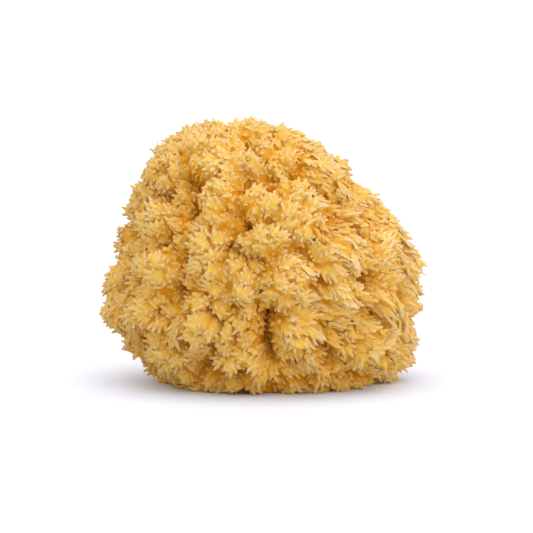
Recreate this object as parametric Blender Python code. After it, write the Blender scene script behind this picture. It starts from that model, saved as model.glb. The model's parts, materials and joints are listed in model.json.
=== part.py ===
"""A dried wool-type bath sponge that grew as one piece and was cut flat where it sat on the rock.

The body is a rounded mound. Its front faces -Y and +Z is up. Swollen lobes press against each other
over the whole surface, crevices and holes run between them, and a coat of pointed tufts covers
everything but the flat cut. On the right-hand side the tufts are combed outwards and down.

All shapes are worked out in millimetres from a point inside the mound and scaled to metres at the end.
"""

import math

import bmesh
import bpy
import numpy as np

MM = 0.001
SEED = 11

# The mound, in millimetres.
MIDDLE_HEIGHT = 48.0
HALF_DEPTH = 57.0
BACK_FULLNESS = 1.03
SQUARENESS = 2.2
OUTLINE_WAVES = 6
# Outline seen from the front, tips included, as (x, z) going round from the right-hand side.
OUTLINE = (
    (62, 33),
    (60.5, 45),
    (60, 54),
    (56, 62),
    (50, 69),
    (44, 74),
    (38, 81),
    (32, 89.5),
    (25, 95.5),
    (12, 102.5),
    (-6.5, 106.5),
    (-19, 106),
    (-31, 104),
    (-43, 96),
    (-52, 82),
    (-57, 68),
    (-60, 54),
    (-65, 40),
    (-66, 29),
    (-60, 16),
    (-51, 3),
    (-36, -12),
    (-18, -20),
    (0, -21),
    (20, -18),
    (40, -10),
    (55, 3),
    (59.5, 15),
)

# Lobes, in millimetres.
TUFT_REACH = 3.4
HOLLOW_BASE_DROP = 5.5
JOIN_SHARPNESS = 1.1
MISS_FALL = 2.5
# Lobes on the outline, going round from the right, as (x, z, radius) where each one bulges most.
OUTLINE_LOBES = (
    (64, 33, 12),
    (61, 50, 13),
    (53, 65, 13),
    (41, 76, 12),
    (32, 89, 12),
    (23, 96, 11),
    (10, 102, 12),
    (-6, 106, 15),
    (-26, 105, 17),
    (-45, 92, 16),
    (-55, 74, 13),
    (-60, 59, 10),
    (-66, 42, 13),
    (-66, 25, 12),
    (-56, 10, 12),
    (-44, -2, 12),
    (62, 16, 12),
    (56, 5, 11),
)
# Lobes on the front, from the top down.
FRONT_LOBES = (
    (-20, 95, 20),
    (-2, 95, 13),
    (24, 87, 13),
    (-44, 82, 12),
    (-20, 78, 12),
    (-6, 76, 9),
    (13, 72, 16),
    (-45, 68, 11),
    (38, 67, 12),
    (-2, 62, 11),
    (-22, 55, 14),
    (30, 56, 12),
    (49, 54, 12),
    (-45, 49, 12),
    (-12, 44, 10),
    (10, 45, 12),
    (30, 39, 12),
    (47, 35, 11),
    (-51, 31, 12),
    (-25, 27, 15),
    (13, 23, 13),
    (44, 19, 13),
    (-42, 13, 12),
    (-8, 10, 12),
)
BACK_SCATTER = 0.12
BACK_FROM = 0.12
BACK_LOBE_COUNT = 30
BACK_LOBE_RADII = (10.0, 16.0)

# Crevices and holes on the front as (width, depth, places), each place an (x, z) on the front.
FRONT_CREVICES = (
    (7, 9, ((-33, 87), (-27, 83), (-31, 73))),
    (9, 12, ((-37, 40),)),
    (6, 7, ((-32, 58), (-32, 52))),
    (5, 6, ((-8, 82),)),
    (6, 8, ((-15, 75), (-8, 72), (-7, 67))),
    (6, 7, ((-15, 59), (-3, 55))),
    (7, 12, ((1, 32), (1, 22), (1, 13))),
    (5, 7, ((-3, 27), (7, 31))),
    (5, 6, ((-23, 34), (-18, 29))),
    (6, 8, ((-21, 18),)),
    (5, 6, ((-45, 31),)),
    (7, 9, ((10, 90), (15, 87), (20, 84))),
    (6, 7, ((-8, 101), (-4, 94), (1, 93))),
    (7, 10, ((43, 43),)),
    (6, 8, ((37, 34), (45, 31))),
    (6, 8, ((40, 70), (40, 64), (40, 59))),
    (6, 8, ((20, 19), (28, 11))),
    (5, 6, ((-43, 59), (-39, 65))),
    (5, 6, ((-47, 74), (-38, 81))),
    (8, 9, ((-26, 6), (-10, 7))),
    (10, 8, ((37, 4),)),
)
BACK_PIT_COUNT = 22
BACK_PIT_WIDTHS = (5.0, 9.0)
BACK_PIT_DEPTHS = (6.0, 11.0)

# The coat of tufts, in millimetres.
SKIN_POINTS = 1760
SKIN_JITTER = 0.32
FOOTPRINT_MARGIN = 1.5
FOOTPRINT_KEEP = 8
TUFT_HEIGHTS = (2.6, 5.0)
CREVICE_SHORTENING = 0.08
CREVICE_TUFT = 0.45
LOWEST_TIP = 0.5
COMBED_FROM_X = -8.0
COMBED_FULL_X = 30.0
COMBED_LEAN = (0.50, 0.0, -0.26)
LEAN_SCATTER = 0.22


def clear_scene():
    """Removes everything the file opens with."""
    for old in list(bpy.data.objects):
        bpy.data.objects.remove(old, do_unlink=True)


def wave_terms(angles):
    """Columns of sines and cosines that a smooth closed outline is made of."""
    columns = [np.ones_like(angles)]
    for turn in range(1, OUTLINE_WAVES + 1):
        columns.append(np.cos(turn * angles))
        columns.append(np.sin(turn * angles))
    return np.stack(columns, axis=-1)


def fitted_outline():
    """Weights of the waves whose sum runs through the outline's points."""
    points = np.array(OUTLINE, dtype=float)
    points[:, 1] -= MIDDLE_HEIGHT
    angles = np.arctan2(points[:, 1], points[:, 0])
    reach = np.hypot(points[:, 0], points[:, 1]) - TUFT_REACH
    return np.linalg.lstsq(wave_terms(angles), reach, rcond=None)[0]


WAVES = fitted_outline()


def outline_reach(x, z):
    """How far the mound reaches from its middle towards (x, z), seen from the front."""
    return wave_terms(np.arctan2(z, x)) @ WAVES


def half_depth(y):
    """Half of the mound's depth; the back is a little fuller than the front."""
    return np.where(y > 0, HALF_DEPTH * BACK_FULLNESS, HALF_DEPTH) - TUFT_REACH


def mound_radius(ways):
    """Distance from the middle to the smooth mound along each unit direction."""
    flat = np.hypot(ways[:, 0], ways[:, 2])
    across = (flat / outline_reach(ways[:, 0], ways[:, 2])) ** SQUARENESS
    along = (np.abs(ways[:, 1]) / half_depth(ways[:, 1])) ** SQUARENESS
    return (across + along) ** (-1 / SQUARENESS)


def place_on_front(x, z):
    """The point of the smooth mound's front at (x, z), measured from the middle."""
    z = z - MIDDLE_HEIGHT
    share = math.hypot(x, z) / float(outline_reach(np.array(x), np.array(z)))
    if share >= 1:
        return np.array([x, 0.0, z]) / share
    y = -(HALF_DEPTH - TUFT_REACH) * (1 - share**SQUARENESS) ** (1 / SQUARENESS)
    return np.array([x, y, z])


def unit(vectors):
    """Vectors of length one."""
    return vectors / np.linalg.norm(vectors, axis=-1, keepdims=True)


def even_directions(count):
    """Directions spread evenly over the sphere along a spiral."""
    index = np.arange(count) + 0.5
    turn = index * math.pi * (3 - math.sqrt(5))
    up = 1 - 2 * index / count
    level = np.sqrt(1 - up * up)
    return np.stack([level * np.cos(turn), level * np.sin(turn), up], axis=1)


def back_directions(count, chance):
    """Uneven directions that cover the back and the flanks, where the front list has nothing."""
    ways = unit(even_directions(2 * count) + chance.normal(0, BACK_SCATTER, (2 * count, 3)))
    return ways[ways[:, 1] > BACK_FROM]


def all_lobes(chance):
    """(top, radius) of every lobe, the tops measured from the middle."""
    lobes = [(place_on_front(x, z), float(radius)) for x, z, radius in OUTLINE_LOBES + FRONT_LOBES]
    for way in back_directions(BACK_LOBE_COUNT, chance):
        top = way * mound_radius(way[None])[0]
        lobes.append((top, chance.uniform(*BACK_LOBE_RADII)))
    return lobes


def outward(point):
    """Unit vector square to the smooth mound at a point of it."""
    step = 0.5
    away = unit(point)
    slopes = []
    for axis in range(3):
        shift = np.zeros(3)
        shift[axis] = step
        ends = np.stack([point + shift, point - shift])
        level = np.linalg.norm(ends, axis=1) / mound_radius(unit(ends))
        slopes.append(level[0] - level[1])
    normal = unit(np.array(slopes))
    return normal if normal @ away > 0 else away


def lobe_radii(ways, lobes):
    """Distance to each lobe's far side along each direction; a near miss gives a shorter one."""
    found = []
    for top, radius in lobes:
        centre = top - outward(top) * radius
        ahead = ways @ centre
        room = ahead**2 - centre @ centre + radius**2
        reach = np.sqrt(np.abs(room))
        found.append(ahead + np.where(room > 0, reach, -MISS_FALL * reach))
    return np.array(found)


def lobed_radius(ways, lobes):
    """The mound with its lobes, joined softly where they press against each other."""
    inner = mound_radius(ways) - HOLLOW_BASE_DROP
    layers = np.vstack([inner[None], lobe_radii(ways, lobes)])
    highest = layers.max(axis=0)
    return highest + np.log(np.exp(JOIN_SHARPNESS * (layers - highest)).sum(axis=0)) / JOIN_SHARPNESS


def distance_to_path(points, path):
    """Distance from each point to the nearest place of a path of one or more corners."""
    nearest = np.linalg.norm(points - path[0], axis=1)
    for start, end in zip(path, path[1:]):
        run = end - start
        share = np.clip((points - start) @ run / (run @ run), 0, 1)
        nearest = np.minimum(nearest, np.linalg.norm(points - start - share[:, None] * run, axis=1))
    return nearest


def all_crevices(chance):
    """(width, depth, path) of every crevice and hole, the paths measured from the middle."""
    crevices = []
    for width, depth, places in FRONT_CREVICES:
        path = [place_on_front(x, z) for x, z in places]
        crevices.append((width, depth, path))
    for way in back_directions(BACK_PIT_COUNT, chance):
        path = [way * mound_radius(way[None])[0]]
        crevices.append((chance.uniform(*BACK_PIT_WIDTHS), chance.uniform(*BACK_PIT_DEPTHS), path))
    return crevices


def crevice_depth(ways, crevices):
    """How deep the skin is sunk along each direction."""
    skin = ways * mound_radius(ways)[:, None]
    sunk = np.zeros(len(ways))
    for width, depth, path in crevices:
        away = distance_to_path(skin, path) / (0.5 * width)
        sunk = np.maximum(sunk, depth * np.exp(-(away**2)))
    return sunk


def floor_radius(ways):
    """Distance from the middle to the flat cut along each direction; endless above the middle."""
    down = np.maximum(-ways[:, 2], 1e-6)
    return MIDDLE_HEIGHT / down


def skin_directions(lobes, chance):
    """Directions of the skin's points, few of them inside the flat cut."""
    spacing = math.sqrt(4 * math.pi / SKIN_POINTS)
    even = even_directions(SKIN_POINTS)
    ways = unit(even + chance.normal(0, SKIN_JITTER * spacing / 2, (SKIN_POINTS, 3)))
    inside_cut = lobed_radius(ways, lobes) > floor_radius(ways) + FOOTPRINT_MARGIN
    sparse = np.arange(SKIN_POINTS) % FOOTPRINT_KEEP == 0
    return ways[~inside_cut | sparse]


def wrapped(ways):
    """A closed triangle mesh round the middle with one point for each direction."""
    mesh = bmesh.new()
    corners = [mesh.verts.new(way) for way in ways]
    bmesh.ops.convex_hull(mesh, input=corners, use_existing_faces=False)
    bmesh.ops.recalc_face_normals(mesh, faces=mesh.faces)
    mesh.verts.index_update()
    return mesh


def combed_share(points):
    """0 where the tufts stand up straight, 1 where they are combed to the right and down."""
    share = np.clip((points[:, 0] - COMBED_FROM_X) / (COMBED_FULL_X - COMBED_FROM_X), 0, 1)
    return share * share * (3 - 2 * share)


def tuft_tips(feet, normals, sunk, chance):
    """Tips of the tufts that stand on the given feet."""
    height = chance.uniform(*TUFT_HEIGHTS, len(feet))
    height *= np.clip(1 - CREVICE_SHORTENING * sunk, CREVICE_TUFT, 1)
    lean = chance.normal(0, LEAN_SCATTER, (len(feet), 3))
    lean += combed_share(feet)[:, None] * np.array(COMBED_LEAN)
    tips = feet + (normals + lean) * height[:, None]
    tips[:, 2] = np.maximum(tips[:, 2], LOWEST_TIP - MIDDLE_HEIGHT)
    return tips


def raise_tufts(mesh, crevices, chance):
    """Turns every triangle of the skin outside the flat cut into a three-sided pointed tuft."""
    lowest = LOWEST_TIP - MIDDLE_HEIGHT
    faces = [face for face in mesh.faces if max(corner.co.z for corner in face.verts) > lowest]
    feet = np.array([face.calc_center_median() for face in faces])
    normals = np.array([face.normal for face in faces])
    tips = tuft_tips(feet, normals, crevice_depth(unit(feet), crevices), chance)
    poked = bmesh.ops.poke(mesh, faces=faces)["verts"]
    for point, tip in zip(poked, tips):
        point.co = tip


def sponge_mesh():
    """The whole sponge as one closed surface, in millimetres from its middle."""
    chance = np.random.default_rng(SEED)
    lobes = all_lobes(chance)
    crevices = all_crevices(chance)
    ways = skin_directions(lobes, chance)
    radii = lobed_radius(ways, lobes) - crevice_depth(ways, crevices)
    radii = np.minimum(radii, floor_radius(ways))
    mesh = wrapped(ways)
    for point, way, radius in zip(mesh.verts, ways, radii):
        point.co = way * radius
    mesh.normal_update()
    raise_tufts(mesh, crevices, chance)
    return mesh


def set_on_floor(mesh):
    """Moves the middle of the footprint box to the origin and scales to metres."""
    points = np.array([point.co for point in mesh.verts])
    low = points.min(axis=0)
    high = points.max(axis=0)
    origin = np.array([(low[0] + high[0]) / 2, (low[1] + high[1]) / 2, low[2]])
    for point, place in zip(mesh.verts, points):
        point.co = (place - origin) * MM


def sponge_material():
    """Dry honey-coloured sponge skeleton."""
    material = bpy.data.materials.new("sponge_fibre")
    material.use_nodes = True
    shader = material.node_tree.nodes["Principled BSDF"]
    shader.inputs["Base Color"].default_value = (0.70, 0.39, 0.09, 1)
    shader.inputs["Roughness"].default_value = 0.85
    return material


def main():
    """Builds the one piece."""
    clear_scene()
    mesh = sponge_mesh()
    set_on_floor(mesh)
    data = bpy.data.meshes.new("sea_sponge")
    mesh.to_mesh(data)
    mesh.free()
    data.materials.append(sponge_material())
    sponge = bpy.data.objects.new("sea_sponge", data)
    bpy.context.scene.collection.objects.link(sponge)


main()
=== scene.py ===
"""The looks of a dried wool-type bath sponge: felted core, coat of pointed tufts and combed brushes.

The body is worked out as in the solid it replaces: a mound with lobes, crevices and a flat cut base. All
shapes are in millimetres from a point inside the mound and are scaled to metres when a mesh is made.
"""

import json
import math

import bpy
import numpy as np
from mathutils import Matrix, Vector, noise
from mathutils.kdtree import KDTree

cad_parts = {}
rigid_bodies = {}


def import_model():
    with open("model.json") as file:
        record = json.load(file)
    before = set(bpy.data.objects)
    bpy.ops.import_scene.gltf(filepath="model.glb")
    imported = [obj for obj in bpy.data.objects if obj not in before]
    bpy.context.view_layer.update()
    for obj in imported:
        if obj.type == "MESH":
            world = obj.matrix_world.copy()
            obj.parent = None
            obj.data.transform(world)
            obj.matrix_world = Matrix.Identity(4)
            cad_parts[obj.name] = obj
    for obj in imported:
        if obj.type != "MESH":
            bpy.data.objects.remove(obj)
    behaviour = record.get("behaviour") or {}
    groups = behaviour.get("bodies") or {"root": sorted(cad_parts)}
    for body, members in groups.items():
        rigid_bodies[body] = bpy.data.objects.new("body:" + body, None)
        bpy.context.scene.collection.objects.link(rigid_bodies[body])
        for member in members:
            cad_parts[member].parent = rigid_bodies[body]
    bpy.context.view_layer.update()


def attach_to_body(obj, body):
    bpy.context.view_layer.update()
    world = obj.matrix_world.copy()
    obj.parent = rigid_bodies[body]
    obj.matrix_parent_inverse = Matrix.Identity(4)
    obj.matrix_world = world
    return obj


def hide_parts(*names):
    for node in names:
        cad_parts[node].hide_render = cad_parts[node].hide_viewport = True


MM = 0.001
SEED = 11
# From the point inside the mound to the origin of the frame, in millimetres.
FRAME_SHIFT = (-0.46, 1.14, -48.0)

# The mound, as in the solid.
MIDDLE_HEIGHT = 48.0
HALF_DEPTH = 57.0
BACK_FULLNESS = 1.03
SQUARENESS = 2.2
OUTLINE_WAVES = 6
OUTLINE = (
    (62, 33),
    (60.5, 45),
    (60, 54),
    (56, 62),
    (50, 69),
    (44, 74),
    (38, 81),
    (32, 89.5),
    (25, 95.5),
    (12, 102.5),
    (-6.5, 106.5),
    (-19, 106),
    (-31, 104),
    (-43, 96),
    (-52, 82),
    (-57, 68),
    (-60, 54),
    (-65, 40),
    (-66, 29),
    (-60, 16),
    (-51, 3),
    (-36, -12),
    (-18, -20),
    (0, -21),
    (20, -18),
    (40, -10),
    (55, 3),
    (59.5, 15),
)
TUFT_REACH = 3.4
HOLLOW_BASE_DROP = 5.5
JOIN_SHARPNESS = 1.1
MISS_FALL = 2.5
OUTLINE_LOBES = (
    (64, 33, 12),
    (61, 50, 13),
    (53, 65, 13),
    (41, 76, 12),
    (32, 89, 12),
    (23, 96, 11),
    (10, 102, 12),
    (-6, 106, 15),
    (-26, 105, 17),
    (-45, 92, 16),
    (-55, 74, 13),
    (-60, 59, 10),
    (-66, 42, 13),
    (-66, 25, 12),
    (-56, 10, 12),
    (-44, -2, 12),
    (62, 16, 12),
    (56, 5, 11),
)
FRONT_LOBES = (
    (-20, 95, 20),
    (-2, 95, 13),
    (24, 87, 13),
    (-44, 82, 12),
    (-20, 78, 12),
    (-6, 76, 9),
    (13, 72, 16),
    (-45, 68, 11),
    (38, 67, 12),
    (-2, 62, 11),
    (-22, 55, 14),
    (30, 56, 12),
    (49, 54, 12),
    (-45, 49, 12),
    (-12, 44, 10),
    (10, 45, 12),
    (30, 39, 12),
    (47, 35, 11),
    (-51, 31, 12),
    (-25, 27, 15),
    (13, 23, 13),
    (44, 19, 13),
    (-42, 13, 12),
    (-8, 10, 12),
)
BACK_SCATTER = 0.12
BACK_FROM = 0.12
BACK_LOBE_COUNT = 30
BACK_LOBE_RADII = (10.0, 16.0)
FRONT_CREVICES = (
    (7, 9, ((-33, 87), (-27, 83), (-31, 73))),
    (9, 12, ((-37, 40),)),
    (6, 7, ((-32, 58), (-32, 52))),
    (5, 6, ((-8, 82),)),
    (6, 8, ((-15, 75), (-8, 72), (-7, 67))),
    (6, 7, ((-15, 59), (-3, 55))),
    (7, 12, ((1, 32), (1, 22), (1, 13))),
    (5, 7, ((-3, 27), (7, 31))),
    (5, 6, ((-23, 34), (-18, 29))),
    (6, 8, ((-21, 18),)),
    (5, 6, ((-45, 31),)),
    (7, 9, ((10, 90), (15, 87), (20, 84))),
    (6, 7, ((-8, 101), (-4, 94), (1, 93))),
    (7, 10, ((43, 43),)),
    (6, 8, ((37, 34), (45, 31))),
    (6, 8, ((40, 70), (40, 64), (40, 59))),
    (6, 8, ((20, 19), (28, 11))),
    (5, 6, ((-43, 59), (-39, 65))),
    (5, 6, ((-47, 74), (-38, 81))),
    (8, 9, ((-26, 6), (-10, 7))),
    (10, 8, ((37, 4),)),
)
BACK_PIT_COUNT = 22
BACK_PIT_WIDTHS = (5.0, 9.0)
BACK_PIT_DEPTHS = (6.0, 11.0)

# The felted core, in millimetres.
CORE_ROUNDS = 8
TUFT_SPACING = 5.2
TUFT_SWELLS = (0.7, 4.1)
POCKET_SHARE = 0.24
POCKET_DEPTH = 2.8
TUFT_LEAN = 0.9
COMBED_LEAN = 0.5
TUFT_STRETCH = 0.5
TUFT_WARP = 2.4
TUFT_WARP_SIZE = 5.0
WARP_OFFSETS = ((0.0, 0.0, 0.0), (31.7, 11.9, 5.3), (7.1, 43.3, 19.7))
CORE_ABOVE = 0.8
CREVICE_WARP = 2.2
CREVICE_WARP_SIZE = 7.0
DOME_POWER = 0.95
CREASE_DEPTH = 0.5
CREASE_POWER = 3
CONULE_FLARE = 0.9
CONULE_REACH = 0.74
# How near the flat cut the skin belongs to the footprint, how near it the core comes, as a share of the
# way to it, and how far above the floor everything ends.
FOOTPRINT_MARGIN = 0.2
CORE_FLOOR_SHARE = 0.995
FLOOR_GAP = 0.05
# The shade of the depths begins this far above the smooth mound and is full after this much further down.
SHADE_FROM = 1.0
SHADE_RANGE = 9.0
POCKET_CREASE = 0.25

# Places seen from the front where the coat is thicker or thinner: (x, z, reach, by how much).
COAT_CHANGES = (
    (-52, 10, 13, -2.2),
    (-44, 4, 7, -2.0),
    (-52, 15, 5, -1.6),
    (-63, 25, 7, 2.4),
    (-54, 84, 10, 1.2),
    (-43, 100, 11, -2.4),
    (12, 106, 7, -3.2),
    (29, 95, 7, -2.0),
    (37, 83, 6, 5.5),
    (46, 77, 6, -1.2),
    (60, 59, 9, 2.4),
    (64, 32, 9, 2.8),
    (58, 19, 12, 1.4),
    (55, 8, 8, 2.4),
)

# The pointed tips, in millimetres.
TIP_SPACING = 1.75
TIP_LENGTHS = (1.5, 2.9)
TIP_FOOT = 0.90
TIP_END = 0.44
TIP_SIDES = 6
TIP_STATIONS = (-0.45, 0.12, 0.55, 0.90)
TIP_TAPER = (1.35, 1.0, 0.70, 0.52)
TUFT_SPREAD = 0.45
TUFT_TILT = 0.30
TUFT_PATCH_TILT = 2.4
TUFT_PATCH = 11.0
TUFT_FANNING = 0.55
FAN_CENTRE = (4.0, 0.0, -6.0)
TIP_SCATTER = 0.17
TIP_FROM_TUFT = 0.8
TIP_FROM_SKIN = 0.2
TIP_TWIST = 0.5
TIP_FOOT_SHARES = (0.8, 1.2)
TIP_END_SHARES = (0.75, 1.3)
TIP_FLATNESS = (0.7, 1.0)
TIP_BEND = 0.15
FOOTPRINT_TIP_LENGTH = 0.8
# Tips are shorter in creases, and shorter by this share for each millimetre that the skin is sunk.
CREASE_SHORTER = 0.45
SUNK_SHORTER = 0.05
SHORTEST_SHARE = 0.5
# Fewer tips stand where the crease between tufts is deep.
VALLEY_CREASES = (0.45, 0.85)
VALLEY_THINNING = 0.65
# Soft ridges along a tip, and the two points that some of them end in.
RIDGE_COUNT = 3
RIDGE_HEIGHTS = (0.0, 0.15)
CROWNED_SHARE = 0.35
CROWN_STRENGTHS = (0.4, 1.0)
CROWN_POINTS = 2
CROWN_HEIGHT = 0.3
CROWN_DIP = 0.14
APEX_REACH = 1.03

# The combed side, in millimetres.
COMBED_FROM_X = -10.0
COMBED_FULL_X = 26.0
COMB_RISES = (-46.0, -20.0)
COMB_AT_FLOOR = 0.35
COMB_FADES_BEHIND = (-45.0, -5.0)
COMBED_FLOW = (0.88, 0.0, -0.47)
COMBED_THINNING = 0.12
FLOW_WANDER = 0.75
FLOW_PATCH = 13.0
# What combing changes in the tufts and tips.
COMBED_LESS_FANNED = 0.5
COMBED_LESS_SPREAD = 0.5
COMBED_TUFT_FLOW = 0.55
COMBED_TIP_FLOW = 0.12
COMBED_LONGER = 0.15
COMBED_FLATTER = 0.1
COMBED_BEND = 0.6

# Brushes of strands fused side by side, in millimetres.
BRUSH_SPACING = 4.4
BRUSH_STRANDS = 6
BRUSH_PATCH = 9.0
BRUSH_PATCHINESS = 2.0
BRUSH_PATCH_LIMITS = (0.3, 2)
BRUSH_CHANCE = 0.08
BRUSH_COMBED_CHANCE = 0.24
BRUSH_SUNK_LIMIT = 5
BRUSH_LENGTHS = (3.4, 7.0)
BRUSH_HALF_WIDTHS = (1.0, 2.5)
BRUSH_ROOT_SHARE = 0.34
BRUSH_TAPER = (1.0, 1.0, 0.90, 0.78)
BRUSH_FOOT = 0.85
BRUSH_FOOT_SHARES = (0.85, 1.15)
BRUSH_END = 0.48
BRUSH_END_SHARES = (0.8, 1.3)
BRUSH_FLATNESS = (0.55, 0.75)
BRUSH_UPRIGHT_LENGTH = 0.55
BRUSH_COMBED_LENGTH = 0.45
BRUSH_LESS_TUFT = 0.40
BRUSH_FLOW = 0.85
BRUSH_SCATTER = 0.26
BRUSH_ROLL = 0.35
BRUSH_ARCHES = (-0.2, 1.0)
BRUSH_ROOT_ARCH = 0.3
BRUSH_FREE_ARCH = 0.7
BRUSH_DROOP = 0.55
BRUSH_SAG = 0.5
BRUSH_BEND = 0.45
BRUSH_STRAND_BEND = 0.26
BRUSH_STRAND_SHIFT = 0.06
BRUSH_ROOT_LIFT = 0.3
BRUSH_ROOT_BACK = 0.9
BRUSH_SIDES_SHORTER = 0.22
BRUSH_STRANDS_SHORTER = 0.38

# Long loose strands at the right edge, in millimetres: places seen from the front.
STRAND_PLACES = ((60, 36), (61, 40), (60, 44), (59, 48), (58, 54), (60, 30), (57, 58), (60, 24))
STRANDS_EACH = 4
STRAND_CHOICE = 60
STRAND_LENGTHS = (2.0, 3.8)
STRAND_WAY = (1.0, -0.15, -0.12)
STRAND_SCATTER = 0.16
STRAND_FEET = (0.55, 0.85)
STRAND_ENDS = (0.26, 0.38)
STRAND_FLATNESS = (0.5, 0.9)
STRAND_BEND = 0.8
STRAND_DROOP = (0, 0, -0.7)
STRAND_SHADES = (0, 0.15)

# Where the tips are parted into pieces, in millimetres from the middle.
BACK_PIECES_FROM = 5
RIGHT_PIECES_FROM = 8
FRONT_PIECES_PART = 5
BACK_PIECES_PART = 8

# Places tried for each square of the spacing, and points compared at a time.
TRIES_PER_SQUARE = 9.0
BATCH = 4000

# How far the shading of the tips follows the body under them, and how much paler they are painted on the
# side
# that light reaches: painted light.
SOFTENING = 0.80
SOFTENED_FACING = (-0.8, 0.3)
PAINTED_LIGHT_SHARE = 0.40
RISE_AT_FOOT = 0.26
RISE_AT_END = 0.92
PAINTED_LIGHT_FROM = (0.1, -0.5, 0.8)
CORE_RISE = 0.12
CONULE_RISE = 0.34

# Painted shade: 0 in the open, 1 at the bottom of a hollow, where the colour is painted darker and deeper
# amber.
CORE_SHADE = 0.10
CORE_SHADE_BY_DEPTH = 0.62
CORE_SHADE_BY_CREASE = 0.60
TIP_SHADE_BY_DEPTH = 0.75
TIP_SHADE_BY_CREASE = 0.25
BRUSH_SHADE_BY_DEPTH = 0.6
BRUSH_SHADE_BY_CREASE = 0.2
SHADE_SCATTER = 0.05
CHART_MARGIN = 0.02

# The fibre's colours from foot to end of a tip, partly its own and partly painted light: the pale ends are
# in part painted highlight and the deeper amber at the foot in part painted shade. Then painted shade, from
# the edge of a hollow to its bottom.
TIP_COLOURS = (
    (0.0, (0.655, 0.375, 0.042)),
    (0.30, (0.620, 0.400, 0.108)),
    (0.60, (0.592, 0.408, 0.188)),
    (1.0, (0.530, 0.430, 0.345)),
)
PAINTED_SHADE_COLOURS = (
    (0.45, (0.600, 0.285, 0.020)),
    (1.0, (0.520, 0.205, 0.004)),
)
# Noise in the colour: (scale, detail, roughness, (darkest, palest)).
GRAIN = (1800, 4, 0.65, (0.92, 1.07))
PATCHES = (55, 2, 0.5, (0.93, 1.06))
NOISE_USED = (0.3, 0.7)
BUMP_STRENGTH = 0.15
BUMP_HEIGHT = 0.0003
FIBRE_ROUGHNESS = 0.8
FIBRE_SPECULAR = 0.07
INNER_LIGHT = 0.5
INNER_LIGHT_REACH = 0.0010
INNER_LIGHT_COLOURS = (1.0, 0.8, 0.6)

# Floor, lights and camera, in metres and watts. A light is (name, place, size, power).
FLOOR_SIZE = 1.6
FLOOR_COLOUR = (0.65, 0.66, 0.72)
FLOOR_ROUGHNESS = 0.9
LIGHTS = (
    ("key", (0.0, -0.3, 1.3), 1.5, 7.5),
    ("fill", (0.7, -0.9, 0.15), 0.7, 4.2),
)
LIGHT_TARGET = (0, 0, 0.05)
SENSOR_WIDTH = 36
CAMERA_DISTANCE = 0.9
CAMERA_HEIGHT_ANGLE = math.radians(5.5)
CAMERA_TARGET = (0.0009, 0.0, 0.0465)
FRAME_WIDTH = 0.2153
WORLD_COLOUR = (0.97, 0.98, 1.0)
WORLD_STRENGTH = 1.39
WORLD_LEAN = (0.12, 0.10, 0.16)


# Numbers, directions and the mound.


def unit(vectors):
    """Vectors of length one."""
    return vectors / np.maximum(np.linalg.norm(vectors, axis=-1, keepdims=True), 1e-9)


def smooth_step(values, low, high):
    """0 below low, 1 above high, and a soft ramp between."""
    share = np.clip((values - low) / (high - low), 0, 1)
    return share * share * (3 - 2 * share)


def wave_terms(angles):
    """Columns of sines and cosines that a smooth closed outline is made of."""
    columns = [np.ones_like(angles)]
    for turn in range(1, OUTLINE_WAVES + 1):
        columns.append(np.cos(turn * angles))
        columns.append(np.sin(turn * angles))
    return np.stack(columns, axis=-1)


def fitted_outline():
    """Weights of the waves whose sum runs through the outline's points."""
    points = np.array(OUTLINE, dtype=float)
    points[:, 1] -= MIDDLE_HEIGHT
    angles = np.arctan2(points[:, 1], points[:, 0])
    reach = np.hypot(points[:, 0], points[:, 1]) - TUFT_REACH
    return np.linalg.lstsq(wave_terms(angles), reach, rcond=None)[0]


WAVES = fitted_outline()


def outline_reach(x, z):
    """How far the mound reaches from its middle towards (x, z), seen from the front."""
    return wave_terms(np.arctan2(z, x)) @ WAVES


def half_depth(y):
    """Half of the mound's depth; the back is a little fuller than the front."""
    return np.where(y > 0, HALF_DEPTH * BACK_FULLNESS, HALF_DEPTH) - TUFT_REACH


def mound_radius(ways):
    """Distance from the middle to the smooth mound along each unit direction."""
    flat = np.hypot(ways[:, 0], ways[:, 2])
    across = (flat / outline_reach(ways[:, 0], ways[:, 2])) ** SQUARENESS
    along = (np.abs(ways[:, 1]) / half_depth(ways[:, 1])) ** SQUARENESS
    return (across + along) ** (-1 / SQUARENESS)


def place_on_front(x, z):
    """The point of the smooth mound's front at (x, z), measured from the middle."""
    z = z - MIDDLE_HEIGHT
    share = math.hypot(x, z) / float(outline_reach(np.array(x), np.array(z)))
    if share >= 1:
        return np.array([x, 0.0, z]) / share
    y = -(HALF_DEPTH - TUFT_REACH) * (1 - share**SQUARENESS) ** (1 / SQUARENESS)
    return np.array([x, y, z])


def even_directions(count):
    """Directions spread evenly over the sphere along a spiral."""
    index = np.arange(count) + 0.5
    turn = index * math.pi * (3 - math.sqrt(5))
    up = 1 - 2 * index / count
    level = np.sqrt(1 - up * up)
    return np.stack([level * np.cos(turn), level * np.sin(turn), up], axis=1)


def back_directions(count, chance):
    """Uneven directions that cover the back and the flanks, where the front list has nothing."""
    ways = unit(even_directions(2 * count) + chance.normal(0, BACK_SCATTER, (2 * count, 3)))
    return ways[ways[:, 1] > BACK_FROM]


def all_lobes(chance):
    """(top, radius) of every lobe, the tops measured from the middle."""
    lobes = [(place_on_front(x, z), float(radius)) for x, z, radius in OUTLINE_LOBES + FRONT_LOBES]
    for way in back_directions(BACK_LOBE_COUNT, chance):
        top = way * mound_radius(way[None])[0]
        lobes.append((top, chance.uniform(*BACK_LOBE_RADII)))
    return lobes


def outward(point):
    """Unit vector square to the smooth mound at a point of it."""
    step = 0.5
    away = unit(point)
    slopes = []
    for axis in range(3):
        shift = np.zeros(3)
        shift[axis] = step
        ends = np.stack([point + shift, point - shift])
        level = np.linalg.norm(ends, axis=1) / mound_radius(unit(ends))
        slopes.append(level[0] - level[1])
    normal = unit(np.array(slopes))
    return normal if normal @ away > 0 else away


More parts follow.
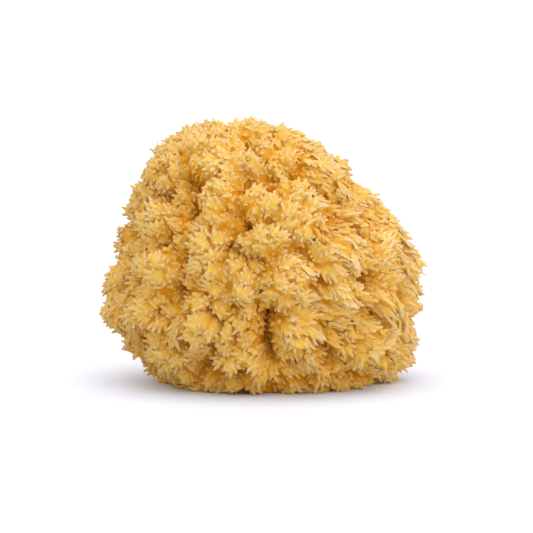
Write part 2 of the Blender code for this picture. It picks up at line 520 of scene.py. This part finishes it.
def lobe_radii(ways, lobes):
    """Distance to each lobe's far side along each direction; a near miss gives a shorter one."""
    found = []
    for top, radius in lobes:
        centre = top - outward(top) * radius
        ahead = ways @ centre
        room = ahead**2 - centre @ centre + radius**2
        reach = np.sqrt(np.abs(room))
        found.append(ahead + np.where(room > 0, reach, -MISS_FALL * reach))
    return np.array(found)


def lobed_radius(ways, lobes):
    """The mound with its lobes, joined softly where they press against each other."""
    inner = mound_radius(ways) - HOLLOW_BASE_DROP
    layers = np.vstack([inner[None], lobe_radii(ways, lobes)])
    highest = layers.max(axis=0)
    return highest + np.log(np.exp(JOIN_SHARPNESS * (layers - highest)).sum(axis=0)) / JOIN_SHARPNESS


def distance_to_path(points, path):
    """Distance from each point to the nearest place of a path of one or more corners."""
    nearest = np.linalg.norm(points - path[0], axis=1)
    for start, end in zip(path, path[1:]):
        run = end - start
        share = np.clip((points - start) @ run / (run @ run), 0, 1)
        nearest = np.minimum(nearest, np.linalg.norm(points - start - share[:, None] * run, axis=1))
    return nearest


def all_crevices(chance):
    """(width, depth, path) of every crevice and hole, the paths measured from the middle."""
    crevices = []
    for width, depth, places in FRONT_CREVICES:
        path = [place_on_front(x, z) for x, z in places]
        crevices.append((width, depth, path))
    for way in back_directions(BACK_PIT_COUNT, chance):
        path = [way * mound_radius(way[None])[0]]
        crevices.append((chance.uniform(*BACK_PIT_WIDTHS), chance.uniform(*BACK_PIT_DEPTHS), path))
    return crevices


def crevice_depth(ways, crevices):
    """How deep the skin is sunk along each direction."""
    skin = ways * mound_radius(ways)[:, None]
    skin = skin + warped(skin, CREVICE_WARP, CREVICE_WARP_SIZE)
    sunk = np.zeros(len(ways))
    for width, depth, path in crevices:
        away = distance_to_path(skin, path) / (0.5 * width)
        sunk = np.maximum(sunk, depth * np.exp(-(away**2)))
    return sunk


def floor_radius(ways):
    """Distance from the middle to the flat cut along each direction; endless above the middle."""
    down = np.maximum(-ways[:, 2], 1e-6)
    return MIDDLE_HEIGHT / down


def warped(points, strength, size):
    """A smooth uneven shift for each point, so that borders between tufts wander."""
    columns = []
    for offset in WARP_OFFSETS:
        rows = (points / size + np.array(offset)).tolist()
        columns.append([noise.noise(Vector(row)) for row in rows])
    return strength * np.array(columns).T


def comb_share(points):
    """How far the coat is combed at each point: not on the left or behind, fully on the upper right."""
    right = smooth_step(points[:, 0], COMBED_FROM_X, COMBED_FULL_X)
    high = smooth_step(points[:, 2], *COMB_RISES)
    front = smooth_step(-points[:, 1], *COMB_FADES_BEHIND)
    return right * (COMB_AT_FLOOR + (1 - COMB_AT_FLOOR) * high) * front


def coat_change(points):
    """How much thicker the coat is at each point, seen from the front."""
    change = np.zeros(len(points))
    for x, z, reach, amount in COAT_CHANGES:
        square = (points[:, 0] - x) ** 2 + (points[:, 2] + MIDDLE_HEIGHT - z) ** 2
        change += amount * np.exp(-square / reach**2)
    return change


def drawn_in(points, comb):
    """Points drawn together along the combed flow: tufts shared out there come out long."""
    grain = unit(np.array(COMBED_FLOW))
    return points - (TUFT_STRETCH * comb * (points @ grain))[:, None] * grain


# Triangles, and points spread over a surface.


def triangle_crosses(faces, points):
    """For each triangle a vector square to it, twice as long as its area."""
    a, b, c = points[faces[:, 0]], points[faces[:, 1]], points[faces[:, 2]]
    return np.cross(b - a, c - a)


def point_normals(faces, points):
    """Unit normals at the points of a triangle mesh."""
    cross = triangle_crosses(faces, points)
    total = np.zeros_like(points)
    for corner in range(3):
        np.add.at(total, faces[:, corner], cross)
    return unit(total)


def scattered(faces, points, spacing, chance):
    """(triangle, corner weights) of places on the mesh that keep the given distance from each other."""
    areas = np.linalg.norm(triangle_crosses(faces, points), axis=1) / 2
    count = int(areas.sum() / spacing**2 * TRIES_PER_SQUARE)
    face = chance.choice(len(faces), count, p=areas / areas.sum())
    first, second = chance.random(count), chance.random(count)
    over = first + second > 1
    first[over], second[over] = 1 - first[over], 1 - second[over]
    weights = np.stack([1 - first - second, first, second], axis=1)
    places = np.einsum("nk,nkd->nd", weights, points[faces[face]])
    kept = kept_apart(places, spacing)
    return face[kept], weights[kept]


def kept_apart(places, spacing):
    """Indices of places taken in turn, each kept if it is far enough from those kept before."""
    cells = {}
    kept = []
    keys = np.floor(places / spacing).astype(int)
    limit = spacing * spacing
    near = [(i, j, k) for i in (-1, 0, 1) for j in (-1, 0, 1) for k in (-1, 0, 1)]
    rows = places.tolist()
    for index, (key, (x, y, z)) in enumerate(zip(map(tuple, keys.tolist()), rows)):
        free = True
        for i, j, k in near:
            for ox, oy, oz in cells.get((key[0] + i, key[1] + j, key[2] + k), ()):
                if (ox - x) ** 2 + (oy - y) ** 2 + (oz - z) ** 2 < limit:
                    free = False
                    break
            if not free:
                break
        if free:
            cells.setdefault(key, []).append((x, y, z))
            kept.append(index)
    return np.array(kept)


def nearest_two(points, centres):
    """(index of the nearest centre, distance to it, distance to the second nearest) of each point."""
    index, first, second = [], [], []
    for start in range(0, len(points), BATCH):
        part = points[start : start + BATCH]
        square = (part**2).sum(1)[:, None] + (centres**2).sum(1)[None] - 2 * part @ centres.T
        two = np.argpartition(square, 1, axis=1)[:, :2]
        value = np.take_along_axis(square, two, axis=1)
        order = np.argsort(value, axis=1)
        two = np.take_along_axis(two, order, axis=1)
        value = np.sqrt(np.maximum(np.take_along_axis(value, order, axis=1), 0))
        index.append(two[:, 0])
        first.append(value[:, 0])
        second.append(value[:, 1])
    return np.concatenate(index), np.concatenate(first), np.concatenate(second)


# The core and its tufts.


class Body:
    """The core's mesh and what the tufts need to know about it."""

    def __init__(self):
        chance = np.random.default_rng(SEED)
        lobes = all_lobes(chance)
        crevices = all_crevices(chance)
        ways, self.faces = round_mesh(CORE_ROUNDS)
        floor = floor_radius(ways)
        lobed = lobed_radius(ways, lobes)
        self.smooth = ways * np.minimum(lobed, floor)[:, None]
        self.smooth_normals = point_normals(self.faces, self.smooth)
        self.footprint = lobed > floor - FOOTPRINT_MARGIN
        self.sunk = crevice_depth(ways, crevices)
        self.comb = comb_share(self.smooth)
        self.make_tufts(np.random.default_rng(SEED + 1))
        dome, swell = self.dome, self.swell
        relief = swell * dome**DOME_POWER - CREASE_DEPTH * (1 - dome) ** CREASE_POWER
        relief = relief + coat_change(self.smooth)
        radius = lobed - self.sunk + np.where(self.footprint, 0, relief) + CORE_ABOVE
        radius = np.minimum(radius, floor * CORE_FLOOR_SHARE)
        lean = (TUFT_LEAN + COMBED_LEAN * self.comb) * swell * dome / TUFT_SWELLS[1]
        shift = self.lean[self.nearest] * lean[:, None]
        self.points = ways * radius[:, None] + np.where(self.footprint[:, None], 0, shift)
        self.normals = point_normals(self.faces, self.points)
        # 0 in the open, 1 deep between lobes; and how near the bottom of a gap or pocket between tufts.
        self.depth = np.clip((mound_radius(ways) - radius + SHADE_FROM) / SHADE_RANGE, 0, 1)
        pocket = POCKET_CREASE + (1 - POCKET_CREASE) * dome
        self.crease = np.where(swell > 0, (1 - dome) ** 2, pocket)

    def make_tufts(self, chance):
        """Places, heights and leans of the tufts, and each point's share in its own tuft."""
        face, weights = scattered(self.faces, self.smooth, TUFT_SPACING, chance)
        corners = self.faces[face]
        self.tufts = np.einsum("nk,nkd->nd", weights, self.smooth[corners])
        upright = unit(np.einsum("nk,nkd->nd", weights, self.smooth_normals[corners]))
        comb = np.einsum("nk,nk->n", weights, self.comb[corners])[:, None]
        flow = combed_flow(self.tufts, upright)
        tilt = along_surface(chance.normal(0, 1, upright.shape), upright)
        patch = along_surface(warped(self.tufts, TUFT_PATCH_TILT, TUFT_PATCH), upright)
        fan = (self.tufts - np.array(FAN_CENTRE)) * np.array([1.0, 0.0, 1.0])
        fan = along_surface(unit(fan), upright) * np.abs(upright[:, 1:2])
        fanned = TUFT_FANNING * fan * (1 - COMBED_LESS_FANNED * comb)
        self.lean = TUFT_TILT * tilt + patch + fanned + COMBED_TUFT_FLOW * comb * flow
        self.tuft_ways = unit(upright + self.lean)
        moved = drawn_in(self.smooth + warped(self.smooth, TUFT_WARP, TUFT_WARP_SIZE), self.comb)
        self.nearest, first, second = nearest_two(moved, drawn_in(self.tufts, comb[:, 0]))
        self.dome = 1 - (2 * first / (first + second)) ** 2
        heights = chance.uniform(*TUFT_SWELLS, len(self.tufts))
        pocket = chance.random(len(self.tufts)) < POCKET_SHARE
        heights = np.where(pocket, -POCKET_DEPTH, heights)
        self.swell = heights[self.nearest]

    def raise_conules(self, feet):
        """Lifts the core softly round the foot of each tip, so that tips grow out of it."""
        tree = KDTree(len(feet))
        for index, foot in enumerate(feet.tolist()):
            tree.insert(foot, index)
        tree.balance()
        away = np.array([tree.find(point)[2] for point in self.points.tolist()])
        lift = CONULE_FLARE * np.exp(-((away / CONULE_REACH) ** 2))
        lift = np.where(self.footprint, 0, lift)
        self.flare = lift / CONULE_FLARE
        self.points = self.points + self.normals * lift[:, None]


def round_mesh(rounds):
    """(unit directions, triangles) of a finely divided ball."""
    bpy.ops.mesh.primitive_ico_sphere_add(subdivisions=rounds, radius=1)
    ball = bpy.context.object
    data = ball.data
    ways = np.empty(len(data.vertices) * 3)
    data.vertices.foreach_get("co", ways)
    faces = np.empty(len(data.polygons) * 3, np.int32)
    data.polygons.foreach_get("vertices", faces)
    bpy.data.objects.remove(ball, do_unlink=True)
    bpy.data.meshes.remove(data)
    return unit(ways.reshape(-1, 3)), faces.reshape(-1, 3)


# Meshes, tips, brushes and strands.


def softened_normals(points, faces, body_normals):
    """Normals between those of the mesh and those of the body under it, as light spreads in thin fibre."""
    own = point_normals(faces, points)
    share = SOFTENING * smooth_step((own * body_normals).sum(1), *SOFTENED_FACING)[:, None]
    return unit((1 - share) * own + share * body_normals)


def add_mesh(name, points, faces, rise, shade, material, soft=None):
    """An object from points in millimetres, with its attributes, in the frame."""
    placed = (points - np.array(FRAME_SHIFT)) * MM
    data = bpy.data.meshes.new(name)
    data.vertices.add(len(placed))
    data.vertices.foreach_set("co", placed.astype(np.float32).ravel())
    corners = faces.shape[1]
    data.loops.add(faces.size)
    data.loops.foreach_set("vertex_index", faces.astype(np.int32).ravel())
    data.polygons.add(len(faces))
    data.polygons.foreach_set("loop_start", np.arange(0, faces.size, corners, dtype=np.int32))
    data.update(calc_edges=True)
    data.polygons.foreach_set("use_smooth", np.ones(len(faces), bool))
    for label, values in (("rise", rise), ("shade", shade)):
        layer = data.attributes.new(label, "FLOAT", "POINT")
        layer.data.foreach_set("value", np.clip(values, 0, 1).astype(np.float32))
    chart = data.uv_layers.new(name="OFBake")
    pairs = np.stack([np.clip(rise, 0, 1), np.clip(shade, 0, 1)], axis=1)[faces.ravel()]
    pairs = CHART_MARGIN + (1 - 2 * CHART_MARGIN) * pairs
    chart.data.foreach_set("uv", pairs.astype(np.float32).ravel())
    if soft is not None:
        normals = softened_normals(points, faces, soft)
        data.normals_split_custom_set_from_vertices(normals.astype(np.float32))
    data.validate()
    piece = bpy.data.objects.new(name, data)
    bpy.context.scene.collection.objects.link(piece)
    data.materials.append(material)
    return piece


def tube_faces(rings, sides, count):
    """Triangles of closed tubes with a point at the far end and a flat fan at the near end."""
    faces = []
    for ring in range(rings - 1):
        for side in range(sides):
            a = ring * sides + side
            b = ring * sides + (side + 1) % sides
            faces.append((a, b, b + sides))
            faces.append((a, b + sides, a + sides))
    end = rings * sides
    for side in range(sides):
        a = (rings - 1) * sides + side
        b = (rings - 1) * sides + (side + 1) % sides
        faces.append((a, b, end))
        faces.append((side, end + 1, (side + 1) % sides))
    faces = np.array(faces)
    step = rings * sides + 2
    return (faces[None] + step * np.arange(count)[:, None, None]).reshape(-1, 3)


def tips(feet, ways, wide, length, foot, end, flat, bend, ridges, phase, crown, shade, taper=TIP_TAPER):
    """Many pointed tips as one mesh. Everything is one row for each tip.

    ways is where each tip points, wide its broad direction, flat the narrowness across it, and bend the
    sideways shift of its end.
    """
    count = len(feet)
    stations = np.array(TIP_STATIONS)
    taper = np.array(taper)
    angle = np.arange(TIP_SIDES) * 2 * math.pi / TIP_SIDES
    across = np.cross(ways, wide)
    run = stations[None, :, None] * length[:, None, None]
    middle = feet[:, None] + ways[:, None] * run
    middle = middle + bend[:, None] * (np.clip(stations, 0, 1) ** 2)[None, :, None]
    wave = 1 + ridges[:, None, None] * np.cos(RIDGE_COUNT * angle[None, None] + phase[:, None, None])
    radius = end[:, None] + (foot - end)[:, None] * (taper[None] - taper[-1]) / (1 - taper[-1])
    radius = radius[:, :, None] * wave
    around = wide[:, None, None] * np.cos(angle)[None, None, :, None]
    around = around + (across * flat[:, None])[:, None, None] * np.sin(angle)[None, None, :, None]
    ring = middle[:, :, None] + around * radius[..., None]
    jag = crown[:, None] * np.cos(CROWN_POINTS * angle[None] + phase[:, None])
    ring[:, -1] += (ways[:, None] * jag[..., None]) * CROWN_HEIGHT
    apex = feet + ways * (length * (APEX_REACH - CROWN_DIP * crown))[:, None] + bend
    root = feet + ways * (stations[0] * length)[:, None]
    points = np.concatenate([ring.reshape(count, -1, 3), apex[:, None], root[:, None]], axis=1)
    height = np.repeat(np.clip(stations, 0, 1), TIP_SIDES)
    height = np.concatenate([height, [1.0, 0.0]])
    rise = np.broadcast_to(height, (count, len(height)))
    tone = np.broadcast_to(shade[:, None], rise.shape)
    faces = tube_faces(len(stations), TIP_SIDES, count)
    return points.reshape(-1, 3), faces, rise.ravel(), tone.ravel()


def foothold(body, spacing, chance):
    """Places on the core that keep their distance, with what the body knows about each."""
    face, weights = scattered(body.faces, body.points, spacing, chance)
    corners = body.faces[face]
    held = {}
    names = ("points", "smooth_normals", "normals", "smooth", "footprint", "sunk", "crease", "depth", "comb")
    for name in names:
        held[name] = np.einsum("nk,nk...->n...", weights, getattr(body, name)[corners].astype(float))
    held["smooth_normals"] = unit(held["smooth_normals"])
    held["normals"] = unit(held["normals"])
    held["tuft"] = body.nearest[corners[:, 0]]
    return held


def chosen_rows(held, keep):
    """Only the wanted places of a foothold."""
    return {name: rows[keep] for name, rows in held.items()}


def combed_flow(places, upright):
    """Where the combed side's fibres run along the surface at each place; it wanders from patch to patch."""
    return along_surface(np.array(COMBED_FLOW) + warped(places, FLOW_WANDER, FLOW_PATCH), upright)


def along_surface(ways, normals):
    """The part of each direction that lies along the surface."""
    return ways - normals * (ways * normals).sum(1, keepdims=True)


def main_tips(body, chance):
    """Places and shapes of all the pointed tips."""
    held = foothold(body, TIP_SPACING, chance)
    valley = smooth_step(held["crease"], *VALLEY_CREASES) * (held["footprint"] < 0.5)
    thinned = COMBED_THINNING * held["comb"] + VALLEY_THINNING * valley
    held = chosen_rows(held, chance.random(len(thinned)) > thinned)
    feet, upright, comb = held["points"], held["smooth_normals"], held["comb"]
    count = len(feet)
    tuft = held["tuft"]
    away = along_surface(held["smooth"] - body.tufts[tuft], upright)
    flow = combed_flow(held["smooth"], upright)
    ways = TIP_FROM_TUFT * body.tuft_ways[tuft] + TIP_FROM_SKIN * held["normals"]
    ways = ways + away / TUFT_SPACING * 2 * TUFT_SPREAD * (1 - COMBED_LESS_SPREAD * comb[:, None])
    ways = ways + flow * (COMBED_TIP_FLOW * comb)[:, None]
    ways = unit(ways + chance.normal(0, TIP_SCATTER, ways.shape))
    length = chance.uniform(*TIP_LENGTHS, count) * (1 + COMBED_LONGER * comb)
    length = length * (1 - CREASE_SHORTER * held["crease"])
    length = length * np.clip(1 - SUNK_SHORTER * held["sunk"], SHORTEST_SHARE, 1)
    length = np.where(held["footprint"] > 0.5, FOOTPRINT_TIP_LENGTH, length)
    wide = unit(np.cross(ways, upright + chance.normal(0, TIP_TWIST, ways.shape)))
    foot = TIP_FOOT * chance.uniform(*TIP_FOOT_SHARES, count)
    end = TIP_END * chance.uniform(*TIP_END_SHARES, count)
    flat = chance.uniform(*TIP_FLATNESS, count) - COMBED_FLATTER * comb
    bend = flow * (COMBED_BEND * comb)[:, None] + chance.normal(0, TIP_BEND, ways.shape)
    ridges = chance.uniform(*RIDGE_HEIGHTS, count)
    phase = chance.uniform(0, 2 * math.pi, count)
    crown = (chance.random(count) < CROWNED_SHARE) * chance.uniform(*CROWN_STRENGTHS, count)
    # Painted shade of each tip, from the depth and the crease under it.
    shade = TIP_SHADE_BY_DEPTH * held["depth"] + TIP_SHADE_BY_CREASE * held["crease"]
    shade = shade + chance.normal(0, SHADE_SCATTER, count)
    return (feet, ways, wide, length, foot, end, flat, bend, ridges, phase, crown, shade), upright


def edge_strands(body, chance):
    """Long loose strands that stand out at the right edge."""
    feet, upright = [], []
    for x, z in STRAND_PLACES:
        place = place_on_front(x, z)
        near = np.argsort(np.linalg.norm(body.smooth - place, axis=1))[:STRAND_CHOICE]
        for index in chance.choice(near, STRANDS_EACH, replace=False):
            feet.append(body.points[index])
            upright.append(body.smooth_normals[index])
    feet, upright = np.array(feet), np.array(upright)
    count = len(feet)
    ways = unit(np.array(STRAND_WAY) + chance.normal(0, STRAND_SCATTER, feet.shape))
    wide = unit(np.cross(ways, chance.normal(0, 1, ways.shape)))
    length = chance.uniform(*STRAND_LENGTHS, count)
    foot = chance.uniform(*STRAND_FEET, count)
    end = chance.uniform(*STRAND_ENDS, count)
    flat = chance.uniform(*STRAND_FLATNESS, count)
    bend = chance.normal(0, STRAND_BEND, ways.shape) + np.array(STRAND_DROOP)
    none = np.zeros(count)
    shade = chance.uniform(*STRAND_SHADES, count)
    return (feet, ways, wide, length, foot, end, flat, bend, none, none, none, shade), upright


def brush_places(body, chance):
    """Where brushes grow: often on the combed side, in patches, and seldom elsewhere."""
    held = foothold(body, BRUSH_SPACING, chance)
    patch = 1 + warped(held["smooth"], BRUSH_PATCHINESS, BRUSH_PATCH)[:, 0]
    wanted = BRUSH_CHANCE + BRUSH_COMBED_CHANCE * held["comb"] * np.clip(patch, *BRUSH_PATCH_LIMITS)
    free = (held["footprint"] < 0.5) & (held["sunk"] < BRUSH_SUNK_LIMIT)
    return chosen_rows(held, (chance.random(len(wanted)) < wanted) & free)


def brushes(body, chance):
    """Flat brushes of strands fused side by side: long and combed on the right, short elsewhere."""
    held = brush_places(body, chance)
    upright, comb = held["smooth_normals"], held["comb"][:, None]
    count = len(comb)
    flow = combed_flow(held["smooth"], upright)
    aim = body.tuft_ways[held["tuft"]] * (1 - BRUSH_LESS_TUFT * comb) + flow * (BRUSH_FLOW * comb)
    aim = unit(aim + chance.normal(0, BRUSH_SCATTER, aim.shape))
    out = unit(along_surface(upright + chance.normal(0, BRUSH_ROLL, aim.shape), aim))
    side = np.cross(aim, out)
    longest = chance.uniform(*BRUSH_LENGTHS, count)
    longest = longest * (BRUSH_UPRIGHT_LENGTH + BRUSH_COMBED_LENGTH * comb[:, 0])
    half = chance.uniform(*BRUSH_HALF_WIDTHS, count)
    arch = chance.uniform(*BRUSH_ARCHES, count)
    droop = -BRUSH_DROOP * upright * comb + chance.normal(0, BRUSH_BEND, aim.shape)
    droop[:, 2] -= BRUSH_SAG * comb[:, 0]
    place = np.linspace(-1, 1, BRUSH_STRANDS)[None]
    place = place + chance.normal(0, BRUSH_STRAND_SHIFT, (count, BRUSH_STRANDS))
    offset = (half[:, None] * place)[..., None] * side[:, None]
    arched = (arch[:, None] * place**2)[..., None] * out[:, None]
    feet = held["points"] + BRUSH_ROOT_LIFT * upright - BRUSH_ROOT_BACK * aim
    feet = feet[:, None] + BRUSH_ROOT_SHARE * offset - BRUSH_ROOT_ARCH * arched
    shorter = BRUSH_SIDES_SHORTER * place**2
    length = longest[:, None] * (1 - shorter - chance.uniform(0, BRUSH_STRANDS_SHORTER, place.shape))
    reach = (1 - BRUSH_ROOT_SHARE) * offset - BRUSH_FREE_ARCH * arched
    ways = unit(aim[:, None] * length[..., None] + reach)
    wide = unit(np.cross(ways, np.broadcast_to(out[:, None], ways.shape)))
    bend = droop[:, None] + chance.normal(0, BRUSH_STRAND_BEND, ways.shape)
    total = count * BRUSH_STRANDS
    none = np.zeros(total)
    # Painted shade of each brush, from the depth and the crease under it.
    shade = BRUSH_SHADE_BY_DEPTH * held["depth"] + BRUSH_SHADE_BY_CREASE * held["crease"]
    shade = shade + chance.normal(0, SHADE_SCATTER, count)
    rows = (
        feet.reshape(-1, 3),
        ways.reshape(-1, 3),
        wide.reshape(-1, 3),
        length.ravel(),
        BRUSH_FOOT * chance.uniform(*BRUSH_FOOT_SHARES, total),
        BRUSH_END * chance.uniform(*BRUSH_END_SHARES, total),
        chance.uniform(*BRUSH_FLATNESS, total),
        bend.reshape(-1, 3),
        none,
        none,
        none,
        np.repeat(shade, BRUSH_STRANDS),
        BRUSH_TAPER,
    )
    return rows, np.repeat(upright, BRUSH_STRANDS, axis=0)


def clear_of_floor(points):
    """Points pressed flat where they would pass through the floor."""
    points = points.copy()
    points[:, 2] = np.maximum(points[:, 2], FLOOR_GAP - MIDDLE_HEIGHT)
    return points


# Material.


def attribute_value(tree, name):
    """The value that a mesh attribute has at each place."""
    node = tree.nodes.new("ShaderNodeAttribute")
    node.attribute_name = name
    return node.outputs["Fac"]


def colour_ramp(tree, value, stops):
    """A colour that runs through the stops as the value rises."""
    ramp = tree.nodes.new("ShaderNodeValToRGB")
    while len(ramp.color_ramp.elements) < len(stops):
        ramp.color_ramp.elements.new(0.5)
    for element, (place, colour) in zip(ramp.color_ramp.elements, stops):
        element.position = place
        element.color = (*colour, 1)
    tree.links.new(value, ramp.inputs["Fac"])
    return ramp.outputs["Color"]


def noise_tone(tree, place, scale, detail, roughness, tones):
    """(noise, brightness that follows it from the darkest tone to the palest)."""
    noise_node = tree.nodes.new("ShaderNodeTexNoise")
    noise_node.inputs["Scale"].default_value = scale
    noise_node.inputs["Detail"].default_value = detail
    noise_node.inputs["Roughness"].default_value = roughness
    tree.links.new(place, noise_node.inputs["Vector"])
    tone = tree.nodes.new("ShaderNodeMapRange")
    tone.inputs["From Min"].default_value = NOISE_USED[0]
    tone.inputs["From Max"].default_value = NOISE_USED[1]
    tone.inputs["To Min"].default_value = tones[0]
    tone.inputs["To Max"].default_value = tones[1]
    tree.links.new(noise_node.outputs["Fac"], tone.inputs["Value"])
    return noise_node.outputs["Fac"], tone.outputs["Result"]


def sponge_material():
    """Felted fibre with grain and patches of tone; painted shade makes the hollows deeper amber, and the
    pale tips are partly painted highlight.
    """
    material = bpy.data.materials.new("sponge_fibre_and_painted_light")
    material.use_nodes = True
    tree = material.node_tree
    shader = tree.nodes["Principled BSDF"]
    rise = attribute_value(tree, "rise")
    shade = attribute_value(tree, "shade")
    # Painted shade: the colour is mixed towards the darker hollow colours as the shade rises.
    deep = tree.nodes.new("ShaderNodeMix")
    deep.data_type = "RGBA"
    tree.links.new(shade, deep.inputs["Factor"])
    tree.links.new(colour_ramp(tree, rise, TIP_COLOURS), deep.inputs["A"])
    tree.links.new(colour_ramp(tree, shade, PAINTED_SHADE_COLOURS), deep.inputs["B"])
    place = tree.nodes.new("ShaderNodeTexCoord").outputs["Object"]
    grain, grain_tone = noise_tone(tree, place, *GRAIN)
    _, patch_tone = noise_tone(tree, place, *PATCHES)
    both = tree.nodes.new("ShaderNodeMath")
    both.operation = "MULTIPLY"
    tree.links.new(grain_tone, both.inputs[0])
    tree.links.new(patch_tone, both.inputs[1])
    final = tree.nodes.new("ShaderNodeVectorMath")
    final.operation = "SCALE"
    tree.links.new(deep.outputs["Result"], final.inputs[0])
    tree.links.new(both.outputs["Value"], final.inputs["Scale"])
    tree.links.new(final.outputs["Vector"], shader.inputs["Base Color"])
    bump = tree.nodes.new("ShaderNodeBump")
    bump.inputs["Strength"].default_value = BUMP_STRENGTH
    bump.inputs["Distance"].default_value = BUMP_HEIGHT
    tree.links.new(grain, bump.inputs["Height"])
    tree.links.new(bump.outputs["Normal"], shader.inputs["Normal"])
    shader.inputs["Roughness"].default_value = FIBRE_ROUGHNESS
    shader.inputs["Specular IOR Level"].default_value = FIBRE_SPECULAR
    shader.subsurface_method = "BURLEY"
    shader.inputs["Subsurface Weight"].default_value = INNER_LIGHT
    shader.inputs["Subsurface Radius"].default_value = INNER_LIGHT_COLOURS
    shader.inputs["Subsurface Scale"].default_value = INNER_LIGHT_REACH
    return material


# Floor, lights and camera.


def add_stage():
    """Pale floor, soft light from above and the camera at the photograph's angle."""
    bpy.ops.mesh.primitive_plane_add(size=FLOOR_SIZE)
    floor = bpy.context.object
    floor.name = "floor"
    paper = bpy.data.materials.new("floor_paper")
    paper.use_nodes = True
    shader = paper.node_tree.nodes["Principled BSDF"]
    shader.inputs["Base Color"].default_value = (*FLOOR_COLOUR, 1)
    shader.inputs["Roughness"].default_value = FLOOR_ROUGHNESS
    floor.data.materials.append(paper)
    scene = bpy.context.scene
    world = bpy.data.worlds.new("studio")
    world.use_nodes = True
    light_world(world.node_tree)
    scene.world = world
    for light in LIGHTS:
        add_light(*light)
    scene.view_settings.view_transform = "Standard"
    add_camera()


def light_world(tree):
    """An even white room that is brighter above and behind than in front."""
    place = tree.nodes.new("ShaderNodeTexCoord")
    lean = tree.nodes.new("ShaderNodeVectorMath")
    lean.operation = "DOT_PRODUCT"
    lean.inputs[1].default_value = WORLD_LEAN
    total = tree.nodes.new("ShaderNodeMath")
    total.operation = "ADD"
    total.inputs[1].default_value = WORLD_STRENGTH
    backdrop = tree.nodes["Background"]
    backdrop.inputs["Color"].default_value = (*WORLD_COLOUR, 1)
    tree.links.new(place.outputs["Generated"], lean.inputs[0])
    tree.links.new(lean.outputs["Value"], total.inputs[0])
    tree.links.new(total.outputs["Value"], backdrop.inputs["Strength"])


def add_light(name, place, size, power):
    """A square soft light that faces the sponge."""
    lamp = bpy.data.lights.new(name, "AREA")
    lamp.size = size
    lamp.energy = power
    holder = bpy.data.objects.new(name, lamp)
    holder.location = place
    aim = Vector(LIGHT_TARGET) - Vector(place)
    holder.rotation_euler = aim.to_track_quat("-Z", "Y").to_euler()
    bpy.context.scene.collection.objects.link(holder)


def add_camera():
    """The camera, level with the sponge and a little above it."""
    camera = bpy.data.cameras.new("camera")
    camera.sensor_width = SENSOR_WIDTH
    camera.lens = SENSOR_WIDTH * CAMERA_DISTANCE / FRAME_WIDTH
    holder = bpy.data.objects.new("camera", camera)
    back = Vector((0, -math.cos(CAMERA_HEIGHT_ANGLE), math.sin(CAMERA_HEIGHT_ANGLE)))
    holder.location = Vector(CAMERA_TARGET) + CAMERA_DISTANCE * back
    holder.rotation_euler = (math.pi / 2 - CAMERA_HEIGHT_ANGLE, 0, 0)
    bpy.context.scene.collection.objects.link(holder)
    bpy.context.scene.camera = holder


def on_frame(piece):
    """Ties a piece to the body of the frame that it covers."""
    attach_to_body(piece, "root")
    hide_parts("sea_sponge")


def attach(name, made, upright, material):
    """A piece made of many like forms, each shaded in part as the body under it."""
    points, faces, rise, shade = made
    soft = np.repeat(upright, len(points) // len(upright), axis=0)
    # Painted light: faces turned towards the light are painted paler, those turned away deeper amber.
    facing = np.clip(point_normals(faces, points) @ unit(np.array(PAINTED_LIGHT_FROM)), 0, 1)
    rise = (RISE_AT_FOOT + (RISE_AT_END - RISE_AT_FOOT) * rise) * (1 - PAINTED_LIGHT_SHARE + PAINTED_LIGHT_SHARE * facing)
    on_frame(add_mesh(name, clear_of_floor(points), faces, rise, shade, material, soft))


def add_core(body, material):
    """The core, as a front and a back piece that meet edge to edge."""
    points = clear_of_floor(body.points)
    # Rise paints the core paler round the foot of each tip; shade is painted shade, darker deep between
    # lobes and in the creases between tufts.
    rise = CORE_RISE + CONULE_RISE * body.flare
    shade = CORE_SHADE + CORE_SHADE_BY_DEPTH * body.depth + CORE_SHADE_BY_CREASE * body.crease
    normals = point_normals(body.faces, points)
    middle = points[body.faces][:, :, 1].mean(axis=1)
    for name, wanted in (("core_front", middle < 0), ("core_back", middle >= 0)):
        used, faces = np.unique(body.faces[wanted], return_inverse=True)
        faces = faces.reshape(-1, 3)
        piece = add_mesh(name, points[used], faces, rise[used], shade[used], material)
        piece.data.normals_split_custom_set_from_vertices(normals[used].astype(np.float32))
        on_frame(piece)


def tip_pieces(feet):
    """(name, which tips it holds) of each piece that the tips are parted into."""
    back = feet[:, 1] > BACK_PIECES_FROM
    right = ~back & (feet[:, 0] > RIGHT_PIECES_FROM)
    left = ~back & ~right
    parts = (
        ("left", left, FRONT_PIECES_PART),
        ("right", right, FRONT_PIECES_PART),
        ("back", back, BACK_PIECES_PART),
    )
    for name, wanted, border in parts:
        high = feet[:, 2] > border
        yield f"tufts_{name}_low", wanted & ~high
        yield f"tufts_{name}_high", wanted & high


def main():
    """Builds the looks over the frame."""
    for old in list(bpy.data.objects):
        bpy.data.objects.remove(old, do_unlink=True)
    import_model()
    body = Body()
    chance = np.random.default_rng(SEED + 2)
    rows, upright = main_tips(body, chance)
    body.raise_conules(rows[0])
    material = sponge_material()
    add_core(body, material)
    for name, chosen in tip_pieces(rows[0]):
        made = tips(*[row[chosen] for row in rows])
        attach(name, made, upright[chosen], material)
    rows, upright = brushes(body, chance)
    attach("brushes", tips(*rows), upright, material)
    rows, upright = edge_strands(body, chance)
    attach("edge_strands", tips(*rows), upright, material)
    add_stage()


main()
